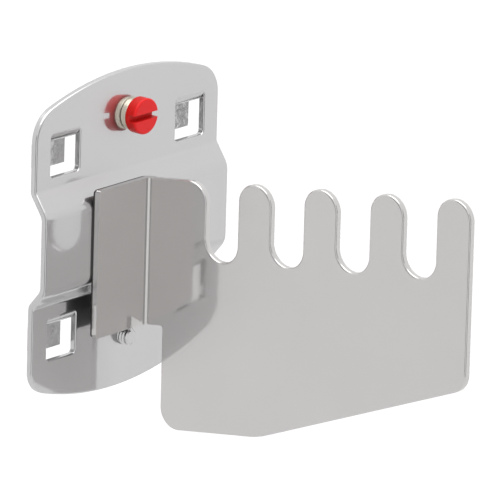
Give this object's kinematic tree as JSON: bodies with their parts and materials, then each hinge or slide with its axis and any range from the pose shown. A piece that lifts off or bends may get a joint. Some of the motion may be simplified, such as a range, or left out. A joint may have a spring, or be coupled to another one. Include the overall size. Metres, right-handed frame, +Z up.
{
  "type": "wall hook rack",
  "caption": "Wall rack for a perforated tool panel: a plate that hooks into square holes, a comb of open slots for hanging tools, and a locking screw with a red cap.",
  "frame": {"origin": "middle of the square pattern of the four hooks, in the plane of the panel's front face", "axes": "+Z up the wall, +Y into the wall, -Y out into the room along the comb, +X to the right seen from the room"},
  "size_m": [0.0556, 0.0924, 0.0729],
  "materials": {
    "plate_chrome": "bright plated sheet steel",
    "comb_chrome": "bright plated sheet steel",
    "pin_steel": "bright plated steel",
    "washer_steel": "bright plated steel",
    "screw_steel": "bright plated steel",
    "cap_red": "moulded red plastic, semi-gloss"
  },
  "bodies": {
    "rack": {"base_plate": "plate_chrome", "comb_bracket": "comb_chrome", "lower_pin": "pin_steel"},
    "washer": {"screw_washer": "washer_steel"},
    "screw": {"lock_screw": "screw_steel", "screw_cap": "cap_red"}
  },
  "joints": [
    {"name": "screw_advance", "type": "slide", "parent": "rack", "child": "washer", "axis": [0, 1, 0], "range_m": [-0.0021, 0]},
    {"name": "screw_turn", "type": "hinge", "parent": "washer", "child": "screw", "pos_m": [0.0006, 0, 0.0235], "axis": [0, 1, 0], "range_deg": [-1080.1, 0.1]}
  ],
  "couplings": [
    {"joint": "screw_turn", "follows": "screw_advance", "rad_per_m": 8976}
  ]
}
